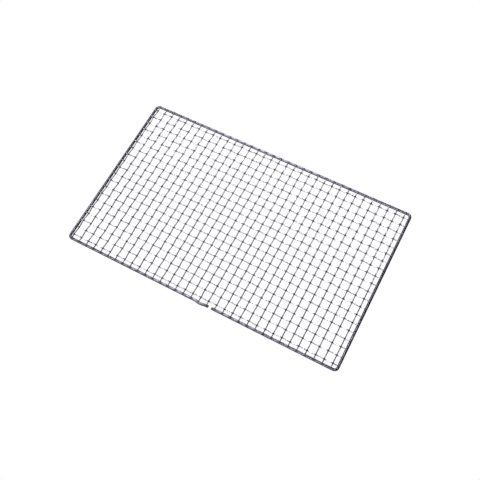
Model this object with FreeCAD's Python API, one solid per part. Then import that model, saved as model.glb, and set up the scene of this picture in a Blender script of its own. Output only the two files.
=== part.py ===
# Cooking grate of a hibachi grill: a flat net of crimped steel wire in plain weave, with the
# ends of its wires welded on top of a frame bent from one thicker round wire.
#
# X runs along the grate's length and Y along its depth, and the long side with the open joint
# in the frame wire is the front, at -Y. The origin is at the middle of the frame, on the
# surface that the frame lies on, with +Z up.
import FreeCAD, Part
import math
import os

from FreeCAD import Vector

# Driving dimensions, in millimetres
FRAME_WIRE = 3.2            # diameter of the frame wire
FRAME_LENGTH = 341.0        # frame along X, from centreline to centreline
FRAME_DEPTH = 202.6         # frame along Y, from centreline to centreline
FRAME_CORNER = 4.0          # centreline radius of the frame's corners
JOINT_LEFT = 16.0           # the frame wire's left end stops here, in the front side
JOINT_RIGHT = 20.0          # and its right end here, with an open gap between them
KINK_START = -1.4           # the front side bows outwards beside the joint, from here
KINK_RADIUS = 15.1          # centreline radius of the bow's three bends
KINK_ANGLE = 14.0           # degrees that each half of the bow turns by
MESH_WIRE = 1.2             # diameter of the woven wires
PITCH = 10.0                # from wire to wire, both ways
CROSS_WIRES = 34            # short wires, along Y
LONG_WIRES = 20             # long wires, along X
LEFT_GAP = 4.35             # frame's left centreline to the first cross wire
FRONT_GAP = 5.35            # frame's front centreline to the first long wire
CROSSING_GAP = 0.02         # clearance between two wires where they cross
WAVE_RADIUS = 18.0          # centreline radius of the waves of a woven wire
WELD_SINK = 0.3             # how deep the welded wire ends sit in the frame wire
SEAT_INSIDE = 1.5           # level end of a woven wire, inside the frame's centreline
SEAT_OUTSIDE = 0.5          # and outside it, up to the sheared end
SEAT_RADIUS = 2.0           # centreline radius of its bends between its last wave and its seat

# Worked out from the driving dimensions
RIGHT_GAP = FRAME_LENGTH - LEFT_GAP - PITCH * (CROSS_WIRES - 1)
BACK_GAP = FRAME_DEPTH - FRONT_GAP - PITCH * (LONG_WIRES - 1)
LEFT = -FRAME_LENGTH / 2
FRONT = -FRAME_DEPTH / 2
WEAVE_RISE = (MESH_WIRE + CROSSING_GAP) / 2
WEAVE_PLANE = FRAME_WIRE + MESH_WIRE / 2 - WELD_SINK

ALONG_X = Vector(1, 0, 0)
ALONG_Y = Vector(0, 1, 0)
UP = Vector(0, 0, 1)


class Route:
    """The centreline of a bent wire: straight runs joined by tangent arcs, all in one plane."""

    def __init__(self, start, ahead, side):
        self.start = start
        self.ahead = ahead
        self.side = side
        self.point = start
        self.heading = 0.0
        self.edges = []

    def direction(self, angle):
        return self.ahead * math.cos(angle) + self.side * math.sin(angle)

    def run(self, length):
        """A straight run along the present heading."""
        end = self.point + self.direction(self.heading) * length
        self.edges.append(Part.LineSegment(self.point, end).toShape())
        self.point = end

    def bend(self, radius, turn):
        """An arc that turns the heading by so many radians, towards the side when positive."""
        to_centre = self.heading + math.copysign(math.pi / 2, turn)
        centre = self.point + self.direction(to_centre) * radius
        middle = centre - self.direction(to_centre + turn / 2) * radius
        end = centre - self.direction(to_centre + turn) * radius
        self.edges.append(Part.Arc(self.point, middle, end).toShape())
        self.point = end
        self.heading += turn

    def step(self, length, rise, radius):
        """Two opposite bends with a straight run between them, level at both ends."""
        drop = 2 * radius - abs(rise)
        slant = math.sqrt(length ** 2 + drop ** 2 - 4 * radius ** 2)
        turn = math.atan2(length, drop) - math.atan2(slant, 2 * radius)
        turn = math.copysign(turn, rise)
        self.bend(radius, turn)
        self.run(slant)
        self.bend(radius, -turn)

    def wire(self, diameter):
        """A solid round wire along the route."""
        rim = Part.Circle(self.start, self.ahead, diameter / 2).toShape()
        section = Part.Face(Part.Wire(rim))
        return Part.Wire(self.edges).makePipe(section)


def make_frame():
    """One length of wire bent round four corners, from the right of the joint to its left."""
    quarter = math.pi / 2
    kink = math.radians(KINK_ANGLE)
    kink_end = KINK_START + 4 * KINK_RADIUS * math.sin(kink)
    straight_length = FRAME_LENGTH - 2 * FRAME_CORNER
    straight_depth = FRAME_DEPTH - 2 * FRAME_CORNER

    route = Route(Vector(JOINT_RIGHT, FRONT, FRAME_WIRE / 2), ALONG_X, ALONG_Y)
    route.run(straight_length / 2 - JOINT_RIGHT)
    route.bend(FRAME_CORNER, quarter)
    route.run(straight_depth)
    route.bend(FRAME_CORNER, quarter)
    route.run(straight_length)
    route.bend(FRAME_CORNER, quarter)
    route.run(straight_depth)
    route.bend(FRAME_CORNER, quarter)
    route.run(KINK_START + straight_length / 2)
    route.bend(KINK_RADIUS, -kink)
    route.bend(KINK_RADIUS, 2 * kink)
    route.bend(KINK_RADIUS, -kink)
    route.run(JOINT_LEFT - kink_end)
    return route.wire(FRAME_WIRE)


def make_woven_wire(start, ahead, first_gap, last_gap, crossings, first_side):
    """A wavy wire from frame to frame. first_side is 1 when it passes over the first wire
    that it crosses and -1 when it passes under, and from there on it goes by turns."""
    route = Route(start - ahead * SEAT_OUTSIDE, ahead, UP)
    route.run(SEAT_OUTSIDE + SEAT_INSIDE)
    rise = first_side * WEAVE_RISE
    route.step(first_gap - SEAT_INSIDE, rise, SEAT_RADIUS)
    for _ in range(crossings - 1):
        route.step(PITCH, -2 * rise, WAVE_RADIUS)
        rise = -rise
    route.step(last_gap - SEAT_INSIDE, -rise, SEAT_RADIUS)
    route.run(SEAT_INSIDE + SEAT_OUTSIDE)
    return route.wire(MESH_WIRE)


def make_cross_wire(index, frame):
    """A short wire, along Y. The first one passes over the front long wire."""
    start = Vector(LEFT + LEFT_GAP + PITCH * index, FRONT, WEAVE_PLANE)
    side = 1 if index % 2 == 0 else -1
    wire = make_woven_wire(start, ALONG_Y, FRONT_GAP, BACK_GAP, LONG_WIRES, side)
    return wire.cut(frame).Solids[0]


def make_long_wire(index, frame):
    """A long wire, along X. The first one passes under the first cross wire."""
    start = Vector(LEFT, FRONT + FRONT_GAP + PITCH * index, WEAVE_PLANE)
    side = -1 if index % 2 == 0 else 1
    wire = make_woven_wire(start, ALONG_X, LEFT_GAP, RIGHT_GAP, CROSS_WIRES, side)
    return wire.cut(frame).Solids[0]


def main():
    os.makedirs("parts", exist_ok=True)
    frame = make_frame()
    frame.exportStep("parts/frame_wire.step")
    for index in range(CROSS_WIRES):
        make_cross_wire(index, frame).exportStep(f"parts/cross_wire_{index + 1:02d}.step")
    for index in range(LONG_WIRES):
        make_long_wire(index, frame).exportStep(f"parts/long_wire_{index + 1:02d}.step")


main()
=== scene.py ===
# Looks of the hibachi grill's cooking grate. Each wire of the net, and the frame wire, is drawn
# anew along the line of its CAD node, with its flattened crossings, weld beads and sheared ends.
import math
import random

import bpy
import numpy as np
from mathutils import Matrix, Vector


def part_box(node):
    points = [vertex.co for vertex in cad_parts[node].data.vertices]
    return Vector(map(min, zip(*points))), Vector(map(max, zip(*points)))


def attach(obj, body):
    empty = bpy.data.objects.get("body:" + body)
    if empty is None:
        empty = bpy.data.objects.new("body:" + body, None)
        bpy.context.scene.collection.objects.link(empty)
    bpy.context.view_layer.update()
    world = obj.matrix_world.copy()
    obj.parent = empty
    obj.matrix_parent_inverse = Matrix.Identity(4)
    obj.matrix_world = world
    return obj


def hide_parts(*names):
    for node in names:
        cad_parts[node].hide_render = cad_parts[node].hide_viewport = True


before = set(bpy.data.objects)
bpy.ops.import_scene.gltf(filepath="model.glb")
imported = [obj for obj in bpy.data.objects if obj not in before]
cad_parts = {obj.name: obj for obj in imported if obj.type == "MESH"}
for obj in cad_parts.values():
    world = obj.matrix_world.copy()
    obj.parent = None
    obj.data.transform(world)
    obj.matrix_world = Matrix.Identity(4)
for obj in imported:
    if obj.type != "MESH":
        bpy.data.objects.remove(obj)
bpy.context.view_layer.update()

MM = 0.001

# Bends, as the CAD nodes have them, in metres
CORNER_RADIUS = 4.0 * MM        # centreline radius of the frame's corners
JOINT_LEFT = 16.0 * MM          # the frame wire's two ends, in the front side
JOINT_RIGHT = 20.0 * MM
KINK_START = -1.4 * MM          # the front side bows out beside the joint, from here
KINK_RADIUS = 15.1 * MM
KINK_ANGLE = math.radians(14)
WAVE_RADIUS = 18.0 * MM         # centreline radius of the waves in a woven wire
SEAT_RADIUS = 2.0 * MM          # and of the tighter bends between its last wave and its seats
SEAT_INSIDE = 1.5 * MM          # a woven wire is level from here, inside the frame's centreline

# Fine shape, in metres
FRAME_SIDES = 24                # faces round the frame wire
FRAME_STEP = 0.8 * MM           # and the most between two rings along it
FRAME_RIPPLE = 0.004 * MM       # unevenness of the frame wire along its length
RIPPLE_RINGS = 61               # over about this many rings
WOVEN_SIDES = 12                # faces round a woven wire
ARC_SHARES = np.array([0.0, 0.25, 0.5, 0.75, 1.0])      # rings along a woven wire's bend
BEVEL_SHARES = np.array([0.0, 0.25, 0.6, 1.0])          # and along the bevel of its end
SEAT_RINGS = np.array([0.5, 0.9, 1.3, 1.8]) * MM        # and from the end along its level part
SHEAR_BEVEL = 0.12 * MM         # rounded edge of a sheared end
PRESS_REACH = 0.9 * MM          # how far from a crossing a wire has been pressed flat
PRESS_PINCH = 0.06              # lower by this share of its height
PRESS_SPREAD = 0.16             # and wider by this share
SEAT_REACH = 1.0 * MM           # the same for the welding electrodes, at the ends
SEAT_PINCH = 0.16
SEAT_SPREAD = 0.13
WANDER = 0.07 * MM              # how far a woven wire strays to its sides
ELECTRODE_FLAT = 0.09 * MM      # flats that the electrodes left under the frame wire
ELECTRODE_REACH = 1.5 * MM
UPSET_HEIGHT = 0.10 * MM        # metal squeezed up in a ring round each weld
UPSET_DISTANCE = 0.875 * MM     # from the weld's middle to the top of that ring
UPSET_WIDTH = 0.5 * MM
BEAD_SIZE = Vector((1.15, 1.15, 0.55)) * MM   # half sizes of the weld bead under a wire end
BEAD_DEPTH = 0.35 * MM          # its middle, below the top of the frame wire
SHARP_ANGLE = math.radians(50)  # edges sharper than this are shaded as edges

# Marks on the steel
CROSSING_SHADE_REACH = 2.0 * MM        # how far from a crossing both wires get painted shade
CROSSING_SHADE_POWER = 4               # how sharply that painted shade ends
FRAME_HEAT = 2.2 * MM           # how far from a weld the frame wire is tinted
WOVEN_HEAT = 1.8 * MM           # and a woven wire
JOINT_SHADE_REACH = 9.0 * MM          # how far from its joint the frame wire is darkened with painted shade
MOTTLE_SCALE = 700.0            # noise cells in a metre
PATCH_SCALE = 60.0
SPECK_SCALE = 4200.0
DIE_MARK_SCALE = (0.12, 7.0, 1.0)       # noise cells in a millimetre, along the wire and round
GROOVE_DEPTH = 0.008 * MM       # of the die marks
GRAIN_DEPTH = 0.012 * MM        # of the mottled coat

# Each steel's light and dark colours, its colour of painted shade where wires cross, and its
# roughness
FRAME_STEEL = ((0.195, 0.186, 0.245, 1), (0.138, 0.131, 0.176, 1), (0.05, 0.047, 0.06, 1), 0.18)
CROSS_STEEL = ((0.52, 0.50, 0.595, 1), (0.36, 0.345, 0.42, 1), (0.008, 0.0075, 0.010, 1), 0.16)
# the long wires' steel: the cross wires' steel painted lighter, for the light the long wires
# catch
LONG_STEEL_PAINTED_LIGHTER = ((0.58, 0.56, 0.66, 1), (0.42, 0.405, 0.49, 1), (0.008, 0.0075, 0.010, 1), 0.16)
STAIN_SHADE = (0.88, 0.88, 0.85, 1)     # these two multiply the steel's colour
SPECK_SHADE = (0.68, 0.67, 0.64, 1)
# colour of the heat tint round the welds, and of the painted shade by the frame wire's joint
HEAT_TINT_AND_SHADE_COLOUR = (0.060, 0.055, 0.070, 1)

# The floor, in metres, and how bright it and the surroundings are to the wires
FLOOR_REACH = 4.0
FLOOR_DROP = 0.02 * MM          # below the frame wire
FLOOR_GLOW = 0.21
WORLD_GLOW = 0.02

# Softboxes: for each its direction from the net's middle, its width and height, its radiance
LIGHT_DISTANCE = 1.25
SOFTBOXES = {
    "strip_overhead": ((-0.25, 0.17, 0.95), (0.28, 0.42), 12.0),
    "strip_back": ((-0.25, 0.76, 0.60), (0.32, 1.30), 4.2),
    "box_back": ((-0.26, 0.93, 0.27), (1.90, 0.28), 11.5),
    "box_front": ((-0.10, -0.71, 0.67), (2.30, 0.30), 9.2),
    "box_left": ((-0.90, 0.20, 0.40), (0.30, 0.30), 1.2),
}

# The camera looks down at the net's middle from the front right, slightly rolled
CAMERA_AIM = Vector((9.37, -14.68, 1.6)) * MM
CAMERA_DISTANCE = 0.7693
CAMERA_AZIMUTH = math.radians(34.99)
CAMERA_ELEVATION = math.radians(66.14)
CAMERA_ROLL = math.radians(-7.447)
CAMERA_LENS = 50.30             # millimetres, on a sensor of this width
CAMERA_SENSOR = 36.0


def middle(node):
    low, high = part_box(node)
    return (low + high) / 2


# The net as its CAD nodes give it. The second wire of each kind lies clear of the corners.
CROSS_NODES = sorted(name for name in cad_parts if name.startswith("cross_wire"))
LONG_NODES = sorted(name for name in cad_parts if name.startswith("long_wire"))
CROSS_X = [middle(name).x for name in CROSS_NODES]
LONG_Y = [middle(name).y for name in LONG_NODES]
CROSS_LOW, CROSS_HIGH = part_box(CROSS_NODES[1])
LONG_LOW, LONG_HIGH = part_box(LONG_NODES[1])
WOVEN_RADIUS = (CROSS_HIGH.x - CROSS_LOW.x) / 2
WEAVE_RISE = (CROSS_HIGH.z - CROSS_LOW.z) / 2 - WOVEN_RADIUS
WEAVE_PLANE = (CROSS_HIGH.z + CROSS_LOW.z) / 2
FRAME_LOW, FRAME_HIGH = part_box("frame_wire")
FRAME_RADIUS = (FRAME_HIGH.z - FRAME_LOW.z) / 2
FRAME_RIGHT = FRAME_HIGH.x - FRAME_RADIUS       # centrelines of the frame's sides
FRAME_BACK = FRAME_HIGH.y - FRAME_RADIUS


def bent_line(start, pieces, step):
    """Points along runs and bends, each given as (length, turn), with the headings there."""
    points = []
    headings = []
    place = np.array(start)
    heading = 0.0
    for length, turn in pieces:
        count = max(2, math.ceil(length / step))
        for share in np.arange(count) / count:
            points.append(place + piece_offset(heading, length * share, turn * share))
            headings.append(heading + turn * share)
        place = place + piece_offset(heading, length, turn)
        heading += turn
    points.append(place)
    headings.append(heading)
    return np.array(points), np.array(headings)


def piece_offset(heading, length, turn):
    """Where a run, or a bend of that length and turn, gets to from its start."""
    chord = length * np.sinc(turn / 2 / math.pi)
    along = heading + turn / 2
    return chord * np.array([math.cos(along), math.sin(along)])


def frame_line():
    """The frame wire's centreline from the right of its joint, round, to the left of it."""
    corner = (CORNER_RADIUS * math.pi / 2, math.pi / 2)
    along_x = 2 * (FRAME_RIGHT - CORNER_RADIUS)
    along_y = 2 * (FRAME_BACK - CORNER_RADIUS)
    kink_end = KINK_START + 4 * KINK_RADIUS * math.sin(KINK_ANGLE)
    kink_arc = KINK_RADIUS * KINK_ANGLE
    pieces = [(along_x / 2 - JOINT_RIGHT, 0.0), corner, (along_y, 0.0), corner]
    pieces += [(along_x, 0.0), corner, (along_y, 0.0), corner]
    pieces += [(KINK_START + along_x / 2, 0.0), (kink_arc, -KINK_ANGLE)]
    pieces += [(2 * kink_arc, 2 * KINK_ANGLE), (kink_arc, -KINK_ANGLE)]
    pieces += [(JOINT_LEFT - kink_end, 0.0)]
    return bent_line((JOINT_RIGHT, -FRAME_BACK), pieces, FRAME_STEP)


FRAME_POINTS, FRAME_HEADINGS = frame_line()


def seat_at(x, y):
    """The point of the frame's centreline nearest to a wire's end."""
    near = np.argmin(np.hypot(FRAME_POINTS[:, 0] - x, FRAME_POINTS[:, 1] - y))
    return FRAME_POINTS[near]


def all_seats():
    """Every place where a woven wire is welded to the frame wire."""
    ends = [(x, side * FRAME_BACK) for x in CROSS_X for side in (-1, 1)]
    ends += [(side * FRAME_RIGHT, y) for y in LONG_Y for side in (-1, 1)]
    return np.array([seat_at(x, y) for x, y in ends])


SEATS = all_seats()


def closeness(distance, reach, power=2):
    """1 at no distance, falling smoothly to nothing past the reach."""
    return np.exp(-(distance / reach) ** power)


class Tube:
    """Rings of a wire: places, directions and half sizes, turned into a closed mesh."""

    def __init__(self, centres, across, upright, sides, radius):
        self.centres = centres
        self.across = across
        self.upright = upright
        self.sides = sides
        self.wide = np.full(len(centres), radius)
        self.high = np.full(len(centres), radius)
        steps = np.linalg.norm(np.diff(centres, axis=0), axis=1)
        self.length = np.concatenate([[0.0], np.cumsum(steps)])
        self.radius = radius

    def round_ends(self, bevel):
        """Draws the rings in towards both sheared ends."""
        to_end = np.minimum(self.length, self.length[-1] - self.length)
        inside = np.clip(1 - to_end / bevel, 0, 1)
        shrink = bevel * (1 - np.sqrt(1 - inside ** 2))
        self.wide = self.wide - shrink
        self.high = self.high - shrink

    def vertices(self):
        # the seam of the rings is underneath
        angles = np.arange(self.sides) * 2 * math.pi / self.sides - math.pi / 2
        sideways = self.across[:, None] * (self.wide[:, None] * np.cos(angles))[..., None]
        upwards = self.upright[:, None] * (self.high[:, None] * np.sin(angles))[..., None]
        return self.centres[:, None] + sideways + upwards

    def faces(self):
        quads = []
        for ring in range(len(self.centres) - 1):
            for side in range(self.sides):
                after = (side + 1) % self.sides
                low = ring * self.sides
                high = low + self.sides
                quads.append((low + side, low + after, high + after, high + side))
        last = (len(self.centres) - 1) * self.sides
        front_cap = tuple(reversed(range(self.sides)))
        back_cap = tuple(range(last, last + self.sides))
        return quads, [front_cap, back_cap]


def bead_mesh(centre, rng, rings=7, sides=14):
    """A small uneven lens of squeezed-out metal, as points and faces."""
    points = [centre - Vector((0, 0, BEAD_SIZE.z))]
    waves = [(rng.uniform(0, 2 * math.pi), rng.uniform(0.03, 0.09)) for _ in range(3)]
    for ring in range(1, rings):
        tilt = math.pi * ring / rings
        for side in range(sides):
            turn = 2 * math.pi * side / sides
            swell = 1 + sum(size * math.sin((k + 2) * turn + phase)
                            for k, (phase, size) in enumerate(waves))
            across = math.sin(tilt) * swell
            offset = Vector((across * math.cos(turn) * BEAD_SIZE.x,
                             across * math.sin(turn) * BEAD_SIZE.y,
                             -math.cos(tilt) * BEAD_SIZE.z))
            points.append(centre + offset)
    points.append(centre + Vector((0, 0, BEAD_SIZE.z)))
    faces = []
    for side in range(sides):
        after = (side + 1) % sides
        faces.append((0, 1 + after, 1 + side))
        for ring in range(rings - 2):
            low = 1 + ring * sides
            faces.append((low + side, low + after, low + sides + after, low + sides + side))
        top = 1 + (rings - 2) * sides
        faces.append((top + side, top + after, len(points) - 1))
    return [tuple(p) for p in points], faces


def make_piece(name, tube, points, crossing_shade, weld_tint_and_joint_shade, beads=()):
    """A mesh object from a tube's vertices, with the beads welded to it as islands.
    Its two masks, one value per vertex, are read by its material: painted shade where wires
    cross, and heat tint round the welds with painted shade by the frame wire's joint."""
    quads, caps = tube.faces()
    vertices = points.reshape(-1, 3).tolist()
    faces = quads + caps
    around = np.arange(tube.sides + 1) / tube.sides * 2 * math.pi * tube.radius
    lines = []
    for ring in range(len(tube.centres) - 1):
        for side in range(tube.sides):
            near, far = tube.length[ring], tube.length[ring + 1]
            left, right = around[side], around[side + 1]
            lines += [(near, left), (near, right), (far, right), (far, left)]
    lines += [(0.0, 0.0)] * (2 * tube.sides)
    crossing_shade = crossing_shade.reshape(-1).tolist()
    weld_tint_and_joint_shade = weld_tint_and_joint_shade.reshape(-1).tolist()
    for bead_points, bead_faces in beads:
        start = len(vertices)
        vertices += bead_points
        faces += [tuple(start + corner for corner in face) for face in bead_faces]
        lines += [(0.0, 0.0)] * sum(len(face) for face in bead_faces)
        crossing_shade += [0.0] * len(bead_points)
        weld_tint_and_joint_shade += [1.0] * len(bead_points)
    mesh = bpy.data.meshes.new(name)
    mesh.from_pydata(vertices, [], faces)
    uv = mesh.uv_layers.new(name="along_wire")
    uv.data.foreach_set("uv", (np.array(lines, np.float32) / MM).ravel())
    for label, values in (("crossing_shade", crossing_shade), ("weld_tint_and_joint_shade", weld_tint_and_joint_shade)):
        layer = mesh.attributes.new(label, "FLOAT", "POINT")
        layer.data.foreach_set("value", np.array(values, np.float32))
    mesh.shade_smooth()
    mesh.set_sharp_from_angle(angle=SHARP_ANGLE)
    mesh.validate()
    piece = bpy.data.objects.new(name, mesh)
    bpy.context.scene.collection.objects.link(piece)
    return piece


def make_frame_wire(material):
    """The frame wire, with flats under its welds and a lip of squeezed-up metal round them."""
    count = len(FRAME_POINTS)
    centres = np.column_stack([FRAME_POINTS, np.full(count, FRAME_LOW.z + FRAME_RADIUS)])
    across = np.column_stack([np.sin(FRAME_HEADINGS), -np.cos(FRAME_HEADINGS), np.zeros(count)])
    upright = np.tile([0.0, 0.0, 1.0], (count, 1))
    tube = Tube(centres, across, upright, FRAME_SIDES, FRAME_RADIUS)
    tube.round_ends(SHEAR_BEVEL)
    points = tube.vertices()

    rng = np.random.default_rng(11)
    ripple = np.cumsum(rng.normal(0, 1, count))
    ripple = ripple - np.convolve(ripple, np.ones(RIPPLE_RINGS) / RIPPLE_RINGS, "same")
    points[..., 2] += (FRAME_RIPPLE * ripple / ripple.std())[:, None]

    flat = points[..., :2].reshape(-1, 1, 2) - SEATS[None]
    to_seat = np.hypot(flat[..., 0], flat[..., 1]).min(axis=1).reshape(points.shape[:2])
    height = (points[..., 2] - centres[:, 2:3]) / FRAME_RADIUS
    floor = FRAME_LOW.z + ELECTRODE_FLAT * closeness(to_seat, ELECTRODE_REACH)
    points[..., 2] = np.maximum(points[..., 2], floor)
    lip = UPSET_HEIGHT * closeness(to_seat - UPSET_DISTANCE, UPSET_WIDTH)
    points[..., 2] += lip * np.clip(height, 0, 1) ** 4      # on top of the wire only
    points[..., 2] = np.maximum(points[..., 2], FRAME_LOW.z)

    # the tint is weakest underneath
    weld_tint_and_joint_shade = closeness(to_seat, FRAME_HEAT) * np.clip(0.5 + height, 0.15, 1)
    # painted shade near the joint, for the darker reflection of its kink, in the same mask
    to_end = np.minimum(tube.length, tube.length[-1] - tube.length)
    weld_tint_and_joint_shade = np.maximum(weld_tint_and_joint_shade, closeness(to_end, JOINT_SHADE_REACH)[:, None])
    piece = make_piece("frame_wire_shaped", tube, points, weld_tint_and_joint_shade * 0, weld_tint_and_joint_shade)
    piece.data.materials.append(material)
    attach(piece, "root")
    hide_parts("frame_wire")


def wave_step(start, end, low, high, radius):
    """Places along a woven wire between two turning points, with its height and slope there."""
    length = end - start
    rise = abs(high - low)
    drop = 2 * radius - rise
    slant = math.sqrt(length ** 2 + drop ** 2 - 4 * radius ** 2)
    turn = math.atan2(length, drop) - math.atan2(slant, 2 * radius)
    sign = 1 if high > low else -1
    rows = []
    for angle in turn * ARC_SHARES:
        rows.append((start + radius * math.sin(angle),
                     low + sign * radius * (1 - math.cos(angle)), sign * angle))
    rows.append(((start + end) / 2, (low + high) / 2, sign * turn))
    for angle in turn * ARC_SHARES[:0:-1]:
        rows.append((end - radius * math.sin(angle),
                     high - sign * radius * (1 - math.cos(angle)), sign * angle))
    return rows


def woven_line(ends, frame_line_at, crossings, first_side):
    """A woven wire from end to end: where each ring is, its height and its slope."""
    seats = (-frame_line_at + SEAT_INSIDE, frame_line_at - SEAT_INSIDE)
    turns = [(seats[0], 0.0)]
    side = first_side
    for place in crossings:
        turns.append((place, side * WEAVE_RISE))
        side = -side
    turns.append((seats[1], 0.0))
    level = np.concatenate([BEVEL_SHARES * SHEAR_BEVEL, SEAT_RINGS])
    rows = [(ends[0] + offset, 0.0, 0.0) for offset in level]
    for (start, low), (end, high) in zip(turns, turns[1:]):
        radius = SEAT_RADIUS if low * high == 0 else WAVE_RADIUS
        rows += wave_step(start, end, low, high, radius)
    rows.append((seats[1], 0.0, 0.0))
    rows += [(ends[1] - offset, 0.0, 0.0) for offset in reversed(level)]
    return np.array(rows)


def make_woven_wire(name, along_x, place, ends, frame_line_at, crossings, first_side,
                    material, seed):
    """One woven wire. place is its coordinate across, and the rest run along it."""
    rng = random.Random(seed)
    rows = woven_line(ends, frame_line_at, crossings, first_side)
    along, height, slope = rows.T
    stray = np.zeros(len(along))
    for waves in (1, 2, 3, 5):
        phase = rng.uniform(0, 2 * math.pi)
        size = WANDER * rng.uniform(0.2, 1.0) / waves
        stray += size * np.sin(waves * math.pi * along / ends[1] + phase)
    stray *= 1 - (along / ends[1]) ** 8
    sideways = place + stray
    level = WEAVE_PLANE + height
    none = np.zeros(len(along))
    ones = np.ones(len(along))
    if along_x:
        centres = np.column_stack([along, sideways, level])
        across = np.column_stack([none, -ones, none])
        upright = np.column_stack([-np.sin(slope), none, np.cos(slope)])
    else:
        centres = np.column_stack([sideways, along, level])
        across = np.column_stack([ones, none, none])
        upright = np.column_stack([none, -np.sin(slope), np.cos(slope)])
    tube = Tube(centres, across, upright, WOVEN_SIDES, WOVEN_RADIUS)
    to_crossing = np.abs(along[:, None] - np.array(crossings)).min(axis=1)
    to_frame = np.abs(np.abs(along) - frame_line_at)
    pressed = closeness(to_crossing, PRESS_REACH)
    seated = closeness(to_frame, SEAT_REACH)
    tube.high = tube.high * (1 - PRESS_PINCH * pressed - SEAT_PINCH * seated)
    tube.wide = tube.wide * (1 + PRESS_SPREAD * pressed + SEAT_SPREAD * seated)
    tube.round_ends(SHEAR_BEVEL)
    points = tube.vertices()

    beads = []
    for end in (-1, 1):
        target = (end * frame_line_at, place) if along_x else (place, end * frame_line_at)
        seat = seat_at(*target)
        if along_x:
            spot = Vector((seat[0], place, FRAME_HIGH.z - BEAD_DEPTH))
        else:
            spot = Vector((place, seat[1], FRAME_HIGH.z - BEAD_DEPTH))
        beads.append(bead_mesh(spot, rng))
    # painted shade round each crossing, on both wires, for the shadow where they overlap
    crossing_shade = closeness(to_crossing, CROSSING_SHADE_REACH, CROSSING_SHADE_POWER)
    crossing_shade = np.repeat(crossing_shade[:, None], WOVEN_SIDES, axis=1)
    weld_tint_and_joint_shade = np.repeat(closeness(to_frame, WOVEN_HEAT)[:, None], WOVEN_SIDES, axis=1)
    piece = make_piece(f"{name}_shaped", tube, points, crossing_shade, weld_tint_and_joint_shade, beads)
    piece.data.materials.append(material)
    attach(piece, "root")
    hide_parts(name)


def add_node(tree, kind, settings=None, **values):
    """A shader node with its properties, and the values of its inputs by name."""
    made = tree.nodes.new(kind)
    for key, value in (settings or {}).items():
        setattr(made, key, value)
    for key, value in values.items():
        made.inputs[key.replace("_", " ")].default_value = value
    return made


def mix_colour(tree, factor, first, second, blend="MIX"):
    """A colour mix whose inputs are sockets, or constants."""
    made = tree.nodes.new("ShaderNodeMix")
    made.data_type = "RGBA"
    made.blend_type = blend
    for socket, value in ((made.inputs[0], factor), (made.inputs[6], first),
                          (made.inputs[7], second)):
        if isinstance(value, bpy.types.NodeSocket):
            tree.links.new(value, socket)
        else:
            socket.default_value = value
    return made.outputs[2]


def ranged(tree, value, low, high, start=0.0, end=1.0):
    """value mapped from start-end to low-high, clamped."""
    made = add_node(tree, "ShaderNodeMapRange", From_Min=start, From_Max=end,
                    To_Min=low, To_Max=high)
    tree.links.new(value, made.inputs["Value"])
    return made.outputs["Result"]


def maths(tree, operation, first, second):
    made = add_node(tree, "ShaderNodeMath", {"operation": operation})
    for socket, value in ((made.inputs[0], first), (made.inputs[1], second)):
        if isinstance(value, bpy.types.NodeSocket):
            tree.links.new(value, socket)
        else:
            socket.default_value = value
    return made.outputs[0]


def noise(tree, vector, scale, detail=3.0, roughness=0.5):
    made = add_node(tree, "ShaderNodeTexNoise", Scale=scale, Detail=detail, Roughness=roughness)
    tree.links.new(vector, made.inputs["Vector"])
    return made.outputs["Fac"]


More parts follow.
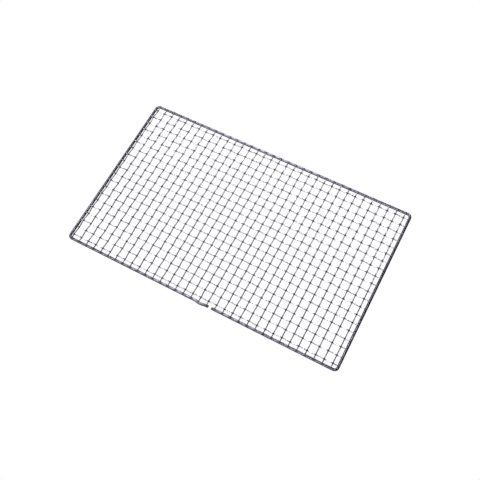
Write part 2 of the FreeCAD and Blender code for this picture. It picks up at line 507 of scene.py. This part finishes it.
def steel(name, light, dark, crossing_shade_colour, rough):
    """Drawn and zinc-plated steel wire: lengthwise die marks, a mottled coat, painted shade of
    dull near-black metal where wires cross, heat tint round the welds, and painted shade by the
    frame wire's joint."""
    material = bpy.data.materials.new(name)
    material.use_nodes = True
    tree = material.node_tree
    shader = tree.nodes["Principled BSDF"]
    place = add_node(tree, "ShaderNodeTexCoord").outputs["Object"]
    wire = add_node(tree, "ShaderNodeUVMap", {"uv_map": "along_wire"}).outputs["UV"]
    stretch = add_node(tree, "ShaderNodeMapping", Scale=DIE_MARK_SCALE)
    tree.links.new(wire, stretch.inputs["Vector"])
    marks = noise(tree, stretch.outputs["Vector"], 1.0, 5.0, 0.65)
    mottle = noise(tree, place, MOTTLE_SCALE, 4.0, 0.6)
    patches = noise(tree, place, PATCH_SCALE, 2.0, 0.5)
    specks = noise(tree, place, SPECK_SCALE, 2.0, 0.5)
    crossing_shade = add_node(tree, "ShaderNodeAttribute", {"attribute_name": "crossing_shade"}).outputs["Fac"]
    weld_tint_and_joint_shade = add_node(tree, "ShaderNodeAttribute", {"attribute_name": "weld_tint_and_joint_shade"}).outputs["Fac"]

    coat = mix_colour(tree, ranged(tree, mottle, 0.0, 1.0, 0.35, 0.65), light, dark)
    lined = mix_colour(tree, ranged(tree, marks, 0.35, 0.0, 0.38, 0.55), coat, dark)
    stained = mix_colour(tree, ranged(tree, patches, 0.0, 1.0, 0.45, 0.7), lined,
                         STAIN_SHADE, "MULTIPLY")
    spotted = mix_colour(tree, ranged(tree, specks, 1.0, 0.0, 0.30, 0.36), stained,
                         SPECK_SHADE, "MULTIPLY")
    # painted shade at the crossings: the steel's colour goes near black there
    crossing_shade_amount = maths(tree, "MULTIPLY", crossing_shade, ranged(tree, mottle, 0.85, 1.0, 0.3, 0.7))
    crossing_shaded = mix_colour(tree, crossing_shade_amount, spotted, crossing_shade_colour)
    # heat tint round the welds, and painted shade by the frame wire's joint
    heat_tint_and_shade = maths(tree, "MULTIPLY", weld_tint_and_joint_shade, ranged(tree, patches, 0.75, 1.0, 0.3, 0.7))
    tinted = mix_colour(tree, heat_tint_and_shade, crossing_shaded, HEAT_TINT_AND_SHADE_COLOUR)
    tree.links.new(tinted, shader.inputs["Base Color"])

    uneven = maths(tree, "ADD", ranged(tree, mottle, rough, rough + 0.10, 0.3, 0.7),
                   ranged(tree, marks, 0.06, 0.0, 0.35, 0.6))
    dulled = maths(tree, "ADD", uneven, maths(tree, "MULTIPLY", crossing_shade, 0.35))
    tree.links.new(maths(tree, "ADD", dulled, maths(tree, "MULTIPLY", weld_tint_and_joint_shade, 0.15)),
                   shader.inputs["Roughness"])
    shader.inputs["Metallic"].default_value = 1.0

    grooves = add_node(tree, "ShaderNodeBump", Strength=0.25, Distance=GROOVE_DEPTH)
    tree.links.new(marks, grooves.inputs["Height"])
    grain = add_node(tree, "ShaderNodeBump", Strength=0.25, Distance=GRAIN_DEPTH)
    tree.links.new(mottle, grain.inputs["Height"])
    tree.links.new(grooves.outputs["Normal"], grain.inputs["Normal"])
    tree.links.new(grain.outputs["Normal"], shader.inputs["Normal"])
    return material


def make_net():
    make_frame_wire(steel("frame_wire_steel", *FRAME_STEEL))
    cross_steel = steel("cross_wire_steel", *CROSS_STEEL)
    # the long wires get a copy of the cross wires' steel painted lighter
    long_steel_painted_lighter = steel("long_wire_steel_painted_lighter", *LONG_STEEL_PAINTED_LIGHTER)
    for index, name in enumerate(CROSS_NODES):
        side = 1 if index % 2 == 0 else -1
        make_woven_wire(name, False, CROSS_X[index], (CROSS_LOW.y, CROSS_HIGH.y), FRAME_BACK,
                        LONG_Y, side, cross_steel, 100 + index)
    for index, name in enumerate(LONG_NODES):
        side = -1 if index % 2 == 0 else 1
        make_woven_wire(name, True, LONG_Y[index], (LONG_LOW.x, LONG_HIGH.x), FRAME_RIGHT,
                        CROSS_X, side, long_steel_painted_lighter, 200 + index)


def make_floor():
    """A plain white sweep. The camera sees it as pure white, as in a cut-out product picture,
    and it sends a weaker light up at the wires."""
    mesh = bpy.data.meshes.new("floor")
    corners = ((-1, -1), (1, -1), (1, 1), (-1, 1))
    mesh.from_pydata([(x * FLOOR_REACH, y * FLOOR_REACH, 0) for x, y in corners], [],
                     [(0, 1, 2, 3)])
    floor = bpy.data.objects.new("floor", mesh)
    floor.location.z = FRAME_LOW.z - FLOOR_DROP
    bpy.context.scene.collection.objects.link(floor)
    material = bpy.data.materials.new("floor_white")
    material.use_nodes = True
    tree = material.node_tree
    tree.nodes.clear()
    output = tree.nodes.new("ShaderNodeOutputMaterial")
    split_white(tree, "ShaderNodeEmission", FLOOR_GLOW, output.inputs["Surface"])
    mesh.materials.append(material)


def split_white(tree, kind, glow, surface):
    """White for the camera and, for everything else, an even glow of that strength."""
    shown = add_node(tree, kind, Color=(1, 1, 1, 1), Strength=1.0)
    cast = add_node(tree, kind, Color=(1, 1, 1, 1), Strength=glow)
    either = tree.nodes.new("ShaderNodeMixShader")
    ray = tree.nodes.new("ShaderNodeLightPath")
    tree.links.new(ray.outputs["Is Camera Ray"], either.inputs[0])
    tree.links.new(cast.outputs[0], either.inputs[1])
    tree.links.new(shown.outputs[0], either.inputs[2])
    tree.links.new(either.outputs[0], surface)


def make_softbox(name, direction, size, radiance):
    """A softbox facing the net's middle. size is its width and its height, in metres."""
    light = bpy.data.lights.new(name, "AREA")
    light.shape = "RECTANGLE"
    light.size, light.size_y = size
    light.energy = math.pi * size[0] * size[1] * radiance
    box = bpy.data.objects.new(name, light)
    towards = Vector(direction).normalized()
    box.location = LIGHT_DISTANCE * towards
    box.rotation_euler = (-towards).to_track_quat("-Z", "Y").to_euler()
    bpy.context.scene.collection.objects.link(box)


def make_light():
    """Two strips left of the middle, one overhead and one behind it, a low wide box at the
    back, a wide one halfway up in front, and a small one at the left. They reach the long wires
    along their whole length, the cross wires only in a thin line, and leave the frame's left
    and right sides dark."""
    world = bpy.data.worlds.new("studio")
    bpy.context.scene.world = world
    world.use_nodes = True
    tree = world.node_tree
    tree.nodes.clear()
    output = tree.nodes.new("ShaderNodeOutputWorld")
    split_white(tree, "ShaderNodeBackground", WORLD_GLOW, output.inputs["Surface"])
    for name, (direction, size, radiance) in SOFTBOXES.items():
        make_softbox(name, direction, size, radiance)
    view = bpy.context.scene.view_settings
    view.view_transform = "Standard"
    view.look = "None"
    view.exposure = 0.0


def make_camera():
    data = bpy.data.cameras.new("camera")
    data.lens = CAMERA_LENS
    data.sensor_width = CAMERA_SENSOR
    data.clip_start = 0.01
    camera = bpy.data.objects.new("camera", data)
    bpy.context.scene.collection.objects.link(camera)
    back = Vector((math.sin(CAMERA_AZIMUTH) * math.cos(CAMERA_ELEVATION),
                   -math.cos(CAMERA_AZIMUTH) * math.cos(CAMERA_ELEVATION),
                   math.sin(CAMERA_ELEVATION)))
    aimed = (-back).to_track_quat("-Z", "Y").to_matrix().to_4x4()
    roll = Matrix.Rotation(CAMERA_ROLL, 4, "Z")
    camera.matrix_world = Matrix.Translation(CAMERA_AIM + back * CAMERA_DISTANCE) @ aimed @ roll
    bpy.context.scene.camera = camera


make_net()
make_floor()
make_light()
make_camera()
